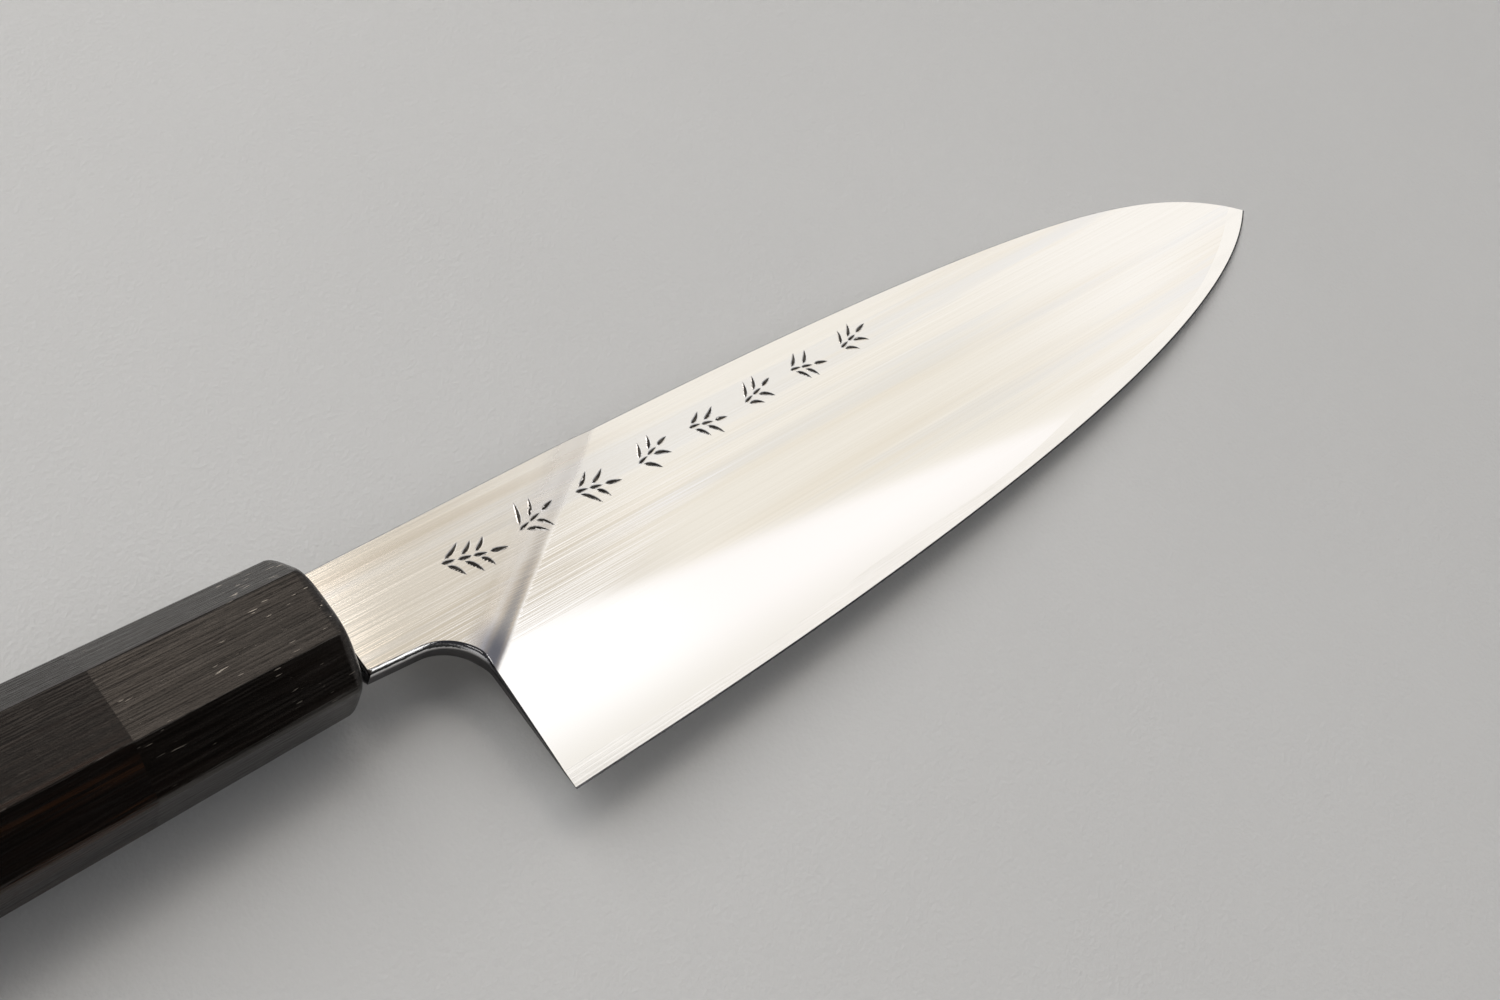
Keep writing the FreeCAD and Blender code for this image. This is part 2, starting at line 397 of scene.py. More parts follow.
def tang_points():
    """Upper shoulder, tang and lower shoulder."""
    corners = [
        (SHOULDER_X, float(spine_y(SHOULDER_X))),
        (SHOULDER_X, TANG_ROOT_Y),
        (TANG_END_X, TANG_BACK[0]),
        (TANG_END_X, -TANG_BACK[0]),
        (SHOULDER_X, -TANG_ROOT_Y),
        (SHOULDER_X, NECK_BOTTOM_Y),
    ]
    steps = (1.0, 4.0, 1.1, 4.0, 1.0)
    return [p for a, b, step in zip(corners, corners[1:], steps) for p in line_points(a, b, step)]


def rounding(kind, x, y):
    """Radius that the blade's outline is rounded with."""
    height = float(face_height(x, y))
    if kind == "choil":
        return max(0.0, CHOIL_ROUND_SHARE * (height - CHOIL_SQUARE))
    if kind == "spine":
        room = height - float(core_height(x, y))
        return min(SPINE_ROUND, max(0.0, SPINE_ROOM_SHARE * room - SPINE_ROOM_SPARE))
    return TANG_ROUND if kind == "tang" else 0.0


def clad_outline():
    """The cladding's outline, with its rounding radius and the kind of stretch at each point."""
    stretches = (
        ("choil", choil_points()),
        ("clad_line", clad_line_points()),
        ("spine", spine_points()),
        ("tang", tang_points()),
    )
    points = [p for _, stretch in stretches for p in stretch]
    radii = [rounding(kind, *p) for kind, stretch in stretches for p in stretch]
    kinds = [kind for kind, stretch in stretches for _ in stretch]
    return np.array(points), np.array(radii), kinds


# ------ ornament
STROKE_WIDTH = 0.56
STROKE_DEPTH = 0.2
LIP_WIDTH = 0.16
LIP_HEIGHT = 0.035
SPRIG_COUNT = 8
SPRIG_FIRST = (25.0, -1.0)
SPRIG_STEP = (12.4, 0.45)
PAIR_PITCH = 2.5            # along a twig, from one pair of leaves to the next
STEM_GAP = 0.35             # left between one stem cut and the next
STEM_WIDTH = STROKE_WIDTH * 0.8
LEAF_OFF_STEM = 0.65
LEAF_BEND = 0.25
LEAF_SHRINK = 0.12          # how much shorter each next pair of leaves is
CUT_CLEARANCE = 0.35


class Cut:
    """One chisel cut: a lens-shaped V-groove with a thin lip of raised metal round it."""

    SHARES = (0.0, 0.14, 0.35, 0.6, 0.82, 1.0)      # stations along the cut
    WIDTHS = (0.0, 0.75, 1.0, 0.8, 0.45, 0.0)       # share of the full width and depth at each

    def __init__(self, start, heading, length, bend=0.0, width=STROKE_WIDTH):
        along = np.array((math.cos(heading), math.sin(heading)))
        across = np.array((-along[1], along[0]))
        start = np.array(start)
        middle = [start + along * length * s + across * bend * 4 * s * (1 - s) for s in self.SHARES]
        halves = [width * w / 2 for w in self.WIDTHS]
        inner = range(1, len(middle) - 1)

        def loop(beyond):
            left = [middle[i] + across * (halves[i] + beyond) for i in inner]
            right = [middle[i] - across * (halves[i] + beyond) for i in inner]
            return [middle[0] - along * beyond] + right + [middle[-1] + along * beyond] + left[::-1]

        self.rim = loop(0.0)
        self.lip = loop(LIP_WIDTH)
        self.bottom = [middle[i] for i in inner]
        self.bottom_depth = [STROKE_DEPTH * self.WIDTHS[i] for i in inner]


def sprig(centre, lean, pairs, rng):
    """A leafy twig: a stem in short cuts, pairs of leaves and a leaf at its tip."""
    cx, cy = centre
    way = np.array((math.cos(lean), math.sin(lean)))
    side_way = np.array((-way[1], way[0]))
    reach = PAIR_PITCH * pairs / 2
    tip_leaf = (cx, cy) + way * (reach + 0.3)
    cuts = [Cut(tip_leaf, lean + rng.uniform(-0.15, 0.15), rng.uniform(2.3, 3.0))]
    for k in range(pairs):
        root = (cx, cy) + way * (PAIR_PITCH * k - reach + rng.uniform(-0.1, 0.1))
        heading = lean + rng.uniform(-0.07, 0.07)
        cuts.append(Cut(root, heading, PAIR_PITCH - STEM_GAP, 0.0, STEM_WIDTH))
        for side in (1, -1):
            start = root + way * rng.uniform(0.5, 1.0) + side_way * side * LEAF_OFF_STEM
            length = rng.uniform(2.7, 3.9) * (1.0 - LEAF_SHRINK * k)
            heading = lean + side * rng.uniform(0.6, 0.95)
            cuts.append(Cut(start, heading, length, side * -LEAF_BEND))
    return cuts


def ornament():
    """The row of twigs along the spine, a made-up pattern."""
    rng = random.Random(11)
    cuts = []
    for i in range(SPRIG_COUNT):
        centre = (SPRIG_FIRST[0] + SPRIG_STEP[0] * i, SPRIG_FIRST[1] + SPRIG_STEP[1] * i)
        lean = (0.28 if i % 2 else -0.22) + rng.uniform(-0.06, 0.06)
        cuts.extend(sprig(centre, lean, rng.choice((2, 3)), rng))
    return cuts


# ------ blade pieces
def add_face_patch(soup, outline, cuts, step):
    """The ground face inside an outline, with any cuts in it. The mesh is finer at the plunge."""
    points = [tuple(p) for p in outline]
    relief = [0.0] * len(points)
    edges = loop_edges(len(points))
    keep_out = []
    for cut in cuts:
        for loop, height in ((cut.lip, 0.0), (cut.rim, LIP_HEIGHT)):
            edges += loop_edges(len(loop), len(points))
            points += [tuple(p) for p in loop]
            relief += [height] * len(loop)
        first = len(points)
        edges += [(first + i, first + i + 1) for i in range(len(cut.bottom) - 1)]
        points += [tuple(p) for p in cut.bottom]
        relief += [-depth for depth in cut.bottom_depth]
        keep_out += cut.lip
    spare = np.concatenate([
        near_plunge(grid_inside(outline, step), False),
        near_plunge(grid_inside(outline, PLUNGE_GRID_STEP), True),
    ])
    if keep_out:
        spare = spare[gaps(spare, np.array(keep_out)) > CUT_CLEARANCE]
    points += [tuple(p) for p in spare]
    relief += [0.0] * len(spare)
    flat, triangles, sources = triangulate(points, edges)
    flat = np.array(flat)
    raised = np.array([relief[s] if s is not None else 0.0 for s in sources])
    normals = face_normal(*flat.T)
    solid = np.column_stack([flat, face_height(*flat.T) + raised])
    for triangle in triangles:
        corners = [solid[i] for i in triangle]
        if any(raised[i] for i in triangle):
            below = any(raised[i] < 0 for i in triangle)
            soup.add_flat(corners, CUT_INSIDE if below else SATIN)
        else:
            soup.add(corners, [normals[i] for i in triangle])


def core_triangles(outline):
    """The core's front side, as triangles."""
    flat, triangles, _ = triangulate([tuple(p) for p in outline], loop_edges(len(outline)))
    return [[(*flat[i], float(core_height(*flat[i]))) for i in triangle] for triangle in triangles]


def front_cladding(cuts):
    """The front layer: ground face, polished rounding round its outline, and the side on the core."""
    outline, radii, _ = clad_outline()
    before, after = outward(outline)
    move = mitre(before, after)
    curves = radii / math.cos(ROUND_START)
    top = outline - move * curves[:, None] * (1 - math.sin(ROUND_START))
    heights = face_height(*top.T)
    lows = core_height(*outline.T)
    facing = face_normal(*top.T)
    soup = Soup()
    add_face_patch(soup, top, cuts, GRID_STEP)
    angles = np.linspace(ROUND_START, math.pi / 2, ROUND_ROWS + 1)

    def row(j, i):
        if j > ROUND_ROWS:
            return (outline[i][0], outline[i][1], lows[i])
        x, y = outline[i] - move[i] * curves[i] * (1 - math.sin(angles[j]))
        return (x, y, heights[i] - curves[i] * (math.cos(ROUND_START) - math.cos(angles[j])))

    def normal(j, i, side):
        angle = angles[min(j, ROUND_ROWS)]
        mixed = facing[i] * math.cos(angle)
        mixed[:2] += side * math.sin(angle)
        return unit(mixed)

    count = len(outline)
    for i in range(count):
        n = (i + 1) % count
        for j in range(ROUND_ROWS + 1):
            corners = [row(j, i), row(j + 1, i), row(j + 1, n), row(j, n)]
            sides = [normal(j, i, after[i]), normal(j + 1, i, after[i])]
            sides += [normal(j + 1, n, before[n]), normal(j, n, before[n])]
            soup.add(corners, sides, POLISHED)
    for corners in core_triangles(outline):
        soup.add_flat(corners[::-1], POLISHED)
    return soup


def core_soup():
    """The middle layer: its two sides, its wall along the cladding's outline, and the edge strip."""
    outline, _, kinds = clad_outline()
    before, after = outward(outline)
    lows = core_height(*outline.T)
    soup, half = Soup(), Soup()
    for corners in core_triangles(outline):
        half.add_flat(corners)
    for i in range(len(outline)):
        n = (i + 1) % len(outline)
        if kinds[i] == "clad_line":
            tops = face_height(*outline[[i, n]].T)
            half.add_flat([(*outline[n], tops[1]), (*outline[i], tops[0]),
                           (*outline[i], lows[i]), (*outline[n], lows[n])][::-1])
        else:
            corners = [(*outline[i], lows[i]), (*outline[i], -lows[i]),
                       (*outline[n], -lows[n]), (*outline[n], lows[n])]
            sides = [(*after[i], 0)] * 2 + [(*before[n], 0)] * 2
            soup.add(corners, sides, POLISHED)
    add_edge_strip(half, soup)
    soup.faces += half.faces + half.mirrored().faces
    return soup


def add_edge_strip(half, soup):
    """The bare strip of core between the clad line and the cutting edge, with the last bevel: its
    front goes into half, and the narrow wall round it into soup."""
    clad_line = clad_line_points() + [CLAD_TIP]
    stub = line_points(CLAD_HEEL, HEEL_CORNER, 0.7)
    edge = [HEEL_CORNER] + curve_points(edge_y, HEEL_X + OUTLINE_STEP, TIP_X, OUTLINE_STEP)
    back = [TIP] + curve_points(spine_y, TIP_X - 0.4, CLAD_TIP_X, 0.5)
    rim = np.array(stub + edge + back + clad_line[:0:-1])
    bevelled = np.zeros(len(rim), bool)
    bevelled[len(stub):len(stub) + len(edge)] = True
    side_bevel = np.where(bevelled, EDGE_BEVEL, 0.0)
    out = side_normals(rim)
    top = rim.copy()
    for i in range(len(rim)):
        a, b = out[i - 1], out[i]
        da, db = side_bevel[i - 1], side_bevel[i]
        cross = a[0] * b[1] - a[1] * b[0]
        if abs(cross) < STRAIGHT_TURN:
            top[i] = rim[i] - (a + b) / 2 * max(da, db) * (da > 0 and db > 0)
        elif da or db:
            top[i] = rim[i] + np.array((-da * b[1] + db * a[1], da * b[0] - db * a[0])) / cross
    moved = np.linalg.norm(top - rim, axis=1) > 1e-9
    top_z = face_height(*top.T)
    rim_z = np.where(moved, EDGE_BEVEL_HALF, top_z)
    add_face_patch(half, top, [], EDGE_GRID_STEP)
    last = len(stub) + len(edge) + len(back)
    lows = core_height(*rim.T)
    for i in range(last):
        n = (i + 1) % len(rim)
        rise = (top_z[i] - rim_z[i]) / EDGE_BEVEL
        tilt = unit(np.array((out[i][0] * rise, out[i][1] * rise, 1.0)))
        bevel = [(*top[i], top_z[i]), (*rim[i], rim_z[i]), (*rim[n], rim_z[n]), (*top[n], top_z[n])]
        half.add(bevel, [tilt] * 4, POLISHED)
        wall = [(*rim[i], rim_z[i]), (*rim[i], -rim_z[i]), (*rim[n], -rim_z[n]), (*rim[n], rim_z[n])]
        if i == 0:
            wall[1:1] = [(*rim[i], lows[i]), (*rim[i], -lows[i])]
        if i == last - 1:
            wall[-1:-1] = [(*rim[n], -lows[n]), (*rim[n], lows[n])]
        soup.add(wall, [(*out[i], 0)] * len(wall), POLISHED)


# ------ handle pieces
def octagon_ring(x, inset, nose):
    """Outline of the handle at x, as points (y, z) and their directions. Facet edges are eased, more
    so beside the narrow side facets, and nose (0 to 1) rounds all of them off towards the front."""
    back = -x
    h = HALF_HEIGHT + HEIGHT_GROWTH * back
    t = HALF_THICKNESS + THICKNESS_GROWTH * back
    c = CORNER_LEG + CORNER_GROWTH * back
    front = [(h, t - c), (h - c, t), (c - h, t), (-h, t - c)]
    corners = np.array(front + [(y, -z) for y, z in reversed(front)])
    after = side_normals(corners)
    before = np.roll(after, 1, 0)
    eased = np.where(np.abs(corners[:, 0:1]) > h - 0.1, SIDE_ROUND, FACET_ROUND)
    radii = eased + (NOSE_ROUND - eased) * nose
    centres = corners - mitre(before, after) * (inset + radii)
    points, normals = [], []
    for centre, radius, a, b in zip(centres, radii, before, after):
        for k in range(CORNER_POINTS):
            share = k / (CORNER_POINTS - 1)
            way = unit(a * math.sin((1 - share) * math.pi / 4) + b * math.sin(share * math.pi / 4))
            points.append(centre + way * radius)
            normals.append(way)
    return np.array(points), np.array(normals)


def handle_sections(front, back, rim_at_front):
    """Stations along a stretch of the handle: x, inset and tilt of the rounded end."""
    radius = RIM_ROUND if rim_at_front else BUTT_ROUND
    bend = []
    for j in range(RIM_STEPS + 1):
        angle = math.pi / 2 * j / RIM_STEPS
        bend.append((radius * (1 - math.sin(angle)), radius * (1 - math.cos(angle)), angle))
    bend.reverse()
    plain_from = front - radius if rim_at_front else front
    plain_to = back if rim_at_front else back + radius
    count = max(2, round((plain_from - plain_to) / STATION_STEP))
    plain = [(x, 0.0, 0.0) for x in np.linspace(plain_from, plain_to, count + 1)]
    if rim_at_front:
        return [(front - d, inset, angle) for d, inset, angle in bend[:-1]] + plain
    return plain + [(back + d, inset, -angle) for d, inset, angle in bend[-2::-1]]


def add_handle_skin(soup, sections):
    """Outer surface through the stations, front to back. Returns its first and last outlines."""
    flare = (HEIGHT_GROWTH + THICKNESS_GROWTH) / 2
    rings = []
    for x, inset, angle in sections:
        outline, ways = octagon_ring(x, inset, max(0.0, math.sin(angle)) ** NOSE_POWER)
        tilt = math.sin(angle) + flare * math.cos(angle)
        normals = np.column_stack([np.full(len(ways), tilt), ways * math.cos(angle)])
        rings.append((np.column_stack([np.full(len(outline), x), outline]), normals))
    for (front, front_n), (back, back_n) in zip(rings, rings[1:]):
        for i in range(len(front)):
            n = (i + 1) % len(front)
            corners = [front[i], back[i], back[n], front[n]]
            soup.add(corners, [front_n[i], back_n[i], back_n[n], front_n[n]])
    return rings[0][0], rings[-1][0]


def add_end_face(soup, outer, hole, forward):
    """Flat face across the handle between an outline and a hole in it (or none)."""
    x = outer[0][0]
    outline = [tuple(p[1:]) for p in outer]
    gap = [tuple(p[1:]) for p in hole] if hole is not None else []
    edges = loop_edges(len(outline)) + (loop_edges(len(gap), len(outline)) if gap else [])
    flat, triangles, _ = triangulate(outline + gap, edges)
    flat = np.array(flat)
    for triangle in triangles:
        if gap and inside(flat[list(triangle)].mean(0)[None], np.array(gap))[0]:
            continue
        order = triangle if forward else triangle[::-1]
        soup.add([(x, *flat[i]) for i in order], [(1.0 if forward else -1.0, 0, 0)] * 3)


def slot_ring(x):
    """The slot for the tang, at x."""
    share = x / POCKET_END_X
    h = POCKET_FRONT[0] + (POCKET_BACK[0] - POCKET_FRONT[0]) * share
    t = POCKET_FRONT[1] + (POCKET_BACK[1] - POCKET_FRONT[1]) * share
    return [np.array((x, a * h, b * t)) for a, b in ((1, 1), (-1, 1), (-1, -1), (1, -1))]


def bore_ring(x):
    """The bore for the dowel, at x."""
    angles = [2 * math.pi * i / BORE_POINTS for i in range(BORE_POINTS)]
    return [np.array((x, DOWEL_R * math.cos(a), DOWEL_R * math.sin(a))) for a in angles]


def add_tunnel(soup, front, back):
    """Inner wall between two like rings, facing inwards."""
    for i in range(len(front)):
        n = (i + 1) % len(front)
        soup.add_flat([front[n], front[i], back[i], back[n]])


def ferrule_soup():
    soup = Soup()
    nose, tail = add_handle_skin(soup, handle_sections(FERRULE_FRONT_X, -FERRULE_LENGTH, True))
    mouth, slot_end = slot_ring(FERRULE_FRONT_X), slot_ring(DOWEL_FRONT_X)
    bore_start, bore_end = bore_ring(DOWEL_FRONT_X), bore_ring(-FERRULE_LENGTH)
    add_end_face(soup, nose, mouth, True)
    add_tunnel(soup, mouth, slot_end)
    add_end_face(soup, bore_start, slot_end, False)
    add_tunnel(soup, bore_start, bore_end)
    add_end_face(soup, tail, bore_end, False)
    return soup


def grip_soup():
    soup = Soup()
    nose, tail = add_handle_skin(soup, handle_sections(-FERRULE_LENGTH, -HANDLE_LENGTH, False))
    bore_start, bore_end = bore_ring(-FERRULE_LENGTH), bore_ring(DOWEL_BACK_X)
    slot_start, slot_end = slot_ring(DOWEL_BACK_X), slot_ring(POCKET_END_X)
    add_end_face(soup, nose, bore_start, True)
    add_tunnel(soup, bore_start, bore_end)
    add_end_face(soup, bore_end, slot_start, True)
    add_tunnel(soup, slot_start, slot_end)
    add_end_face(soup, slot_end, None, True)
    add_end_face(soup, tail, None, False)
    return soup


# ------ node helper
class Graph:
    """Short ways to add shader nodes. Values that are sockets are linked, others are set."""

    def __init__(self, owner):
        self.owner = owner
        owner.use_nodes = True
        self.tree = owner.node_tree
        self.tree.nodes.clear()

    def add(self, kind, inputs=None, **settings):
        node = self.tree.nodes.new(kind)
        for name, value in settings.items():
            setattr(node, name, value)
        for name, value in (inputs or {}).items():
            if isinstance(value, bpy.types.NodeSocket):
                self.tree.links.new(value, node.inputs[name])
            else:
                node.inputs[name].default_value = value
        return node

    def math(self, operation, a, b=0.0, c=0.0):
        return self.add("ShaderNodeMath", {0: a, 1: b, 2: c}, operation=operation).outputs[0]

    def times(self, product, *factors):
        for factor in factors:
            product = self.math("MULTIPLY", product, factor)
        return product

    def split(self, vector):
        return self.add("ShaderNodeSeparateXYZ", {"Vector": vector}).outputs

    def smooth(self, value, low, high, to_low=0.0, to_high=1.0):
        """Eases from to_low to to_high as value goes from low to high."""
        inputs = {"Value": value, "From Min": low, "From Max": high, "To Min": to_low, "To Max": to_high}
        return self.add("ShaderNodeMapRange", inputs, interpolation_type="SMOOTHSTEP").outputs[0]

    def between(self, value, low, high, soft):
        """1 from low to high and 0 outside, with soft borders."""
        return self.times(self.smooth(value, low - soft, low + soft),
                          self.smooth(value, high - soft, high + soft, 1.0, 0.0))

    def mix(self, factor, a, b):
        """Mixes two colours. The colour sockets of a mix node are numbers 6, 7 and, going out, 2."""
        return self.add("ShaderNodeMix", {0: factor, 6: a, 7: b}, data_type="RGBA").outputs[2]

    def knife(self):
        """Position in knife millimetres."""
        origin = TURN.transposed() @ SHIFT / MM
        where = self.add("ShaderNodeTexCoord").outputs["Object"]
        scale = (1 / MM,) * 3
        inputs = {"Vector": where, "Location": -origin, "Rotation": (0, -PITCH, 0), "Scale": scale}
        return self.add("ShaderNodeMapping", inputs).outputs[0]

    def noise(self, where, scale, detail=3.0, roughness=0.55, offset=(0, 0, 0)):
        """Noise with its own scale per millimetre along each axis."""
        inputs = {"Vector": where, "Scale": scale, "Location": offset}
        stretched = self.add("ShaderNodeMapping", inputs).outputs[0]
        inputs = {"Vector": stretched, "Scale": 1.0, "Detail": detail, "Roughness": roughness}
        return self.add("ShaderNodeTexNoise", inputs).outputs[0]

    def bump(self, height, distance, strength=1.0, below=None):
        inputs = {"Height": height, "Distance": distance, "Strength": strength}
        if below is not None:
            inputs["Normal"] = below
        return self.add("ShaderNodeBump", inputs).outputs[0]

    def surface(self, **sockets):
        """Ends a material in a principled shader, and returns it."""
        inputs = {name.replace("_", " "): value for name, value in sockets.items()}
        shader = self.add("ShaderNodeBsdfPrincipled", inputs).outputs[0]
        self.add("ShaderNodeOutputMaterial", {"Surface": shader})
        return self.owner


# ------ materials
# Places are in knife millimetres, noise scales are per millimetre, and colours are linear.
FINE_STEEL = (0.87, 0.85, 0.82, 1)
WARM_TINT = (0.80, 0.75, 0.67, 1)
COOL_TINT = (0.78, 0.79, 0.82, 1)
HAIRLINE = (0.70, 0.66, 0.60, 1)
BROWN_LINE = (0.60, 0.53, 0.46, 1)
# Painted shade for the plunge, and a bluish painted shade at its foot
PAINTED_PLUNGE_SHADE = (0.42, 0.385, 0.36, 1)
PAINTED_TOE_SHADE = (0.16, 0.17, 0.22, 1)


def paint_plunge_shade(g, where, colour, across, along):
    """The plunge between neck and blade gets painted shade in place of its dark reflection: darker, most
    of all at its foot.
    Returns the colour, and where the plunge is duller."""
    wander = g.math("MULTIPLY_ADD", g.noise(where, (0.09, 0.09, 0.09), 1.0), 1.6, -0.8)
    across = g.math("ADD", across, wander)
    foot = g.times(g.smooth(across, -5.0, -0.5), g.smooth(along, 36.0, 2.0, 0.0, 0.35))
    shade = g.math("MULTIPLY_ADD", g.smooth(across, -10.0, -1.0), 0.22, foot)
    colour = g.mix(g.times(shade, g.smooth(across, 1.6, 0.8)), colour, PAINTED_PLUNGE_SHADE)
    # A bluish painted shade at the very foot of the plunge
    toe = g.times(g.smooth(across, -5.0, -1.0), g.smooth(across, 1.6, 0.8))
    colour = g.mix(g.times(toe, g.smooth(along, 7.0, 1.0, 0.0, 0.75)), colour, PAINTED_TOE_SHADE)
    return colour, g.times(g.smooth(across, -5.0, -2.2), g.smooth(across, 1.8, 0.8))


def satin_steel():
    """Stainless cladding, drawn lengthwise on a fine stone: hairlines and soft tints on the neck and
    the upper blade, and a smooth polish towards the cutting edge."""
    g = Graph(bpy.data.materials.new("satin_cladding"))
    where = g.knife()
    x, y, _ = g.split(where)
    # Distance across the plunge's line, towards the edge, and up along it
    px, py = g.math("SUBTRACT", x, PLUNGE_POINT[0]), g.math("SUBTRACT", y, PLUNGE_POINT[1])
    across = g.math("MULTIPLY_ADD", px, PLUNGE_NORMAL[0], g.times(py, PLUNGE_NORMAL[1]))
    along = g.math("MULTIPLY_ADD", px, -PLUNGE_NORMAL[1], g.times(py, PLUNGE_NORMAL[0]))
    # How strongly the steel is lined, and how strongly it is tinted
    reach = g.math("ADD", y, g.smooth(x, 100.0, 35.0, 0.0, 7.0))
    drawn = g.math("MAXIMUM", g.smooth(reach, -10.0, 6.0, 0.0, 0.55),
                   g.smooth(across, -2.0, -7.0, 0.0, 0.8))
    level = g.math("MULTIPLY_ADD", x, 0.11, y)
    tinted = g.math("MAXIMUM", g.smooth(level, -15.5, -9.0, 0.0, 0.85),
                    g.smooth(across, -2.0, -6.0, 0.0, 0.8))
    hair = g.noise(where, (0.006, 3.4, 0.3), 2.0, 0.6)
    fine = g.noise(where, (0.02, 5.0, 0.3), 1.0, 0.5, (3, 7, 0))
    broad = g.noise(where, (0.005, 0.12, 0.1), 4.0, 0.6, (0.3, 2, 0))
    cool = g.noise(where, (0.006, 0.16, 0.1), 4.0, 0.6, (9, 5, 0))
    colour = g.mix(g.times(g.smooth(broad, 0.46, 0.62, 0.0, 0.55), tinted), FINE_STEEL, WARM_TINT)
    colour = g.mix(g.times(g.smooth(cool, 0.5, 0.64, 0.0, 0.65), tinted), colour, COOL_TINT)
    lines = g.times(g.smooth(hair, 0.70, 0.30), g.math("MAXIMUM", drawn, g.times(tinted, 0.6)))
    colour = g.mix(g.times(lines, 0.34), colour, HAIRLINE)
    # Under the spine, near the handle, a buffed strip ends in a faint brown line
    below = g.math("SUBTRACT", g.math("MULTIPLY_ADD", x, 0.0125, 8.15), y)
    brown = g.times(g.smooth(below, 1.7, 2.6), g.smooth(below, 4.6, 2.7))
    colour = g.mix(g.times(brown, g.smooth(x, 75.0, 35.0, 0.0, 0.25)), colour, BROWN_LINE)
    # Painted shade darkens the plunge, most of all at its foot
    colour, dull = paint_plunge_shade(g, where, colour, across, along)
    roughness = g.times(g.smooth(hair, 0.3, 0.7, 0.11, 0.15), g.smooth(y, -8.0, 4.0, 0.45, 1.0))
    roughness = g.math("MULTIPLY_ADD", dull, 0.16, roughness)
    relief = g.bump(g.times(hair, drawn), 0.008, 0.022)
    relief = g.bump(g.times(fine, drawn), 0.004, 0.03, relief)
    tangent = g.add("ShaderNodeTangent", direction_type="UV_MAP", uv_map="grain").outputs[0]
    return g.surface(Base_Color=colour, Metallic=1.0, Roughness=roughness, Normal=relief,
                     Anisotropic=g.smooth(y, -14.0, 0.0, 0.0, 0.35), Tangent=tangent)


def core_steel():
    """Hard steel at the edge, polished nearly to a mirror."""
    g = Graph(bpy.data.materials.new("polished_core"))
    where = g.knife()
    hair = g.noise(where, (0.03, 3.2, 0.5), 4.0, 0.6, (1, 4, 0))
    cloud = g.noise(where, (0.05, 0.3, 0.3), 3.0, 0.5)
    colour = g.mix(g.smooth(cloud, 0.4, 0.7), FINE_STEEL, (0.84, 0.82, 0.79, 1))
    roughness = g.smooth(hair, 0.3, 0.7, 0.10, 0.13)
    relief = g.bump(hair, 0.004, 0.02)
    return g.surface(Base_Color=colour, Metallic=1.0, Roughness=roughness, Normal=relief)


def mirror_steel():
    """The rounded, buffed edges: choil, neck and spine. The middle of neck and choil is darkened
    with a painted dark reflection."""
    g = Graph(bpy.data.materials.new("buffed_steel"))
    where = g.knife()
    _, y, z = g.split(where)
    haze = g.noise(where, (0.4, 0.4, 0.4), 3.0)
    scratch = g.noise(where, (0.2, 3.0, 3.0), 3.0, 0.6)
    colour = g.mix(g.smooth(haze, 0.4, 0.7), (0.82, 0.81, 0.80, 1), (0.74, 0.73, 0.72, 1))
    # Painted reflection: near-black across the middle of the neck's and choil's rounded underside
    dark = g.times(g.smooth(g.math("ABSOLUTE", z), 1.6, 0.9), g.smooth(y, -4.0, -8.0, 0.0, 0.95))
    colour = g.mix(dark, colour, (0.05, 0.048, 0.05, 1))
    roughness = g.smooth(haze, 0.35, 0.7, 0.04, 0.08)
    relief = g.bump(scratch, 0.003, 0.05)
    return g.surface(Base_Color=colour, Metallic=1.0, Roughness=roughness, Normal=relief)


def cut_steel():
    """Inside the chisel cuts: darker, duller steel."""
    g = Graph(bpy.data.materials.new("cut_steel"))
    cut_mottle = g.noise(g.knife(), (1.2, 1.2, 1.2), 3.0)
    colour = g.mix(g.smooth(cut_mottle, 0.35, 0.7), (0.10, 0.09, 0.08, 1), (0.26, 0.24, 0.21, 1))
    return g.surface(Base_Color=colour, Metallic=0.85, Roughness=g.smooth(cut_mottle, 0.3, 0.7, 0.35, 0.5))


def horn():
    """Black buffalo horn, buffed: lengthwise fibres, and pale flecks that gather at the front."""
    g = Graph(bpy.data.materials.new("buffed_horn"))
    where = g.knife()
    x, y, _ = g.split(where)
    fibre = g.noise(where, (0.06, 2.4, 2.4), 3.0, 0.6)
    cloud = g.noise(where, (0.05, 0.35, 0.35), 3.0, 0.5, (2, 0, 5))
    fleck = g.noise(where, (0.5, 4.2, 4.2), 0.0, 0.5, (4, 1, 2))
    gather = g.noise(where, (0.16, 0.30, 0.30), 1.0, 0.5, (8, 3, 1))
    gather = g.math("ADD", gather, g.smooth(x, -18.0, -2.0, -0.08, 0.06))
    colour = g.mix(g.smooth(cloud, 0.35, 0.7), (0.002, 0.0015, 0.001, 1), (0.006, 0.004, 0.003, 1))
    colour = g.mix(g.smooth(fibre, 0.45, 0.8, 0.0, 0.5), colour, (0.022, 0.017, 0.014, 1))
    flecks = g.times(g.smooth(fleck, 0.745, 0.81), g.smooth(gather, 0.47, 0.60, 0.02, 1.0))
    flecks = g.times(flecks, g.smooth(y, -9.0, -4.0, 0.3, 1.0))
    colour = g.mix(flecks, colour, (0.36, 0.32, 0.27, 1))
    roughness = g.smooth(fibre, 0.3, 0.7, 0.14, 0.22)
    relief = g.bump(fibre, 0.02, 0.10)
    sheen = g.smooth(fibre, 0.35, 0.65, 0.42, 0.66)
    return g.surface(Base_Color=colour, Roughness=roughness, Normal=relief, IOR=1.47,
                     Specular_IOR_Level=sheen, Specular_Tint=(1.0, 0.92, 0.85, 1))


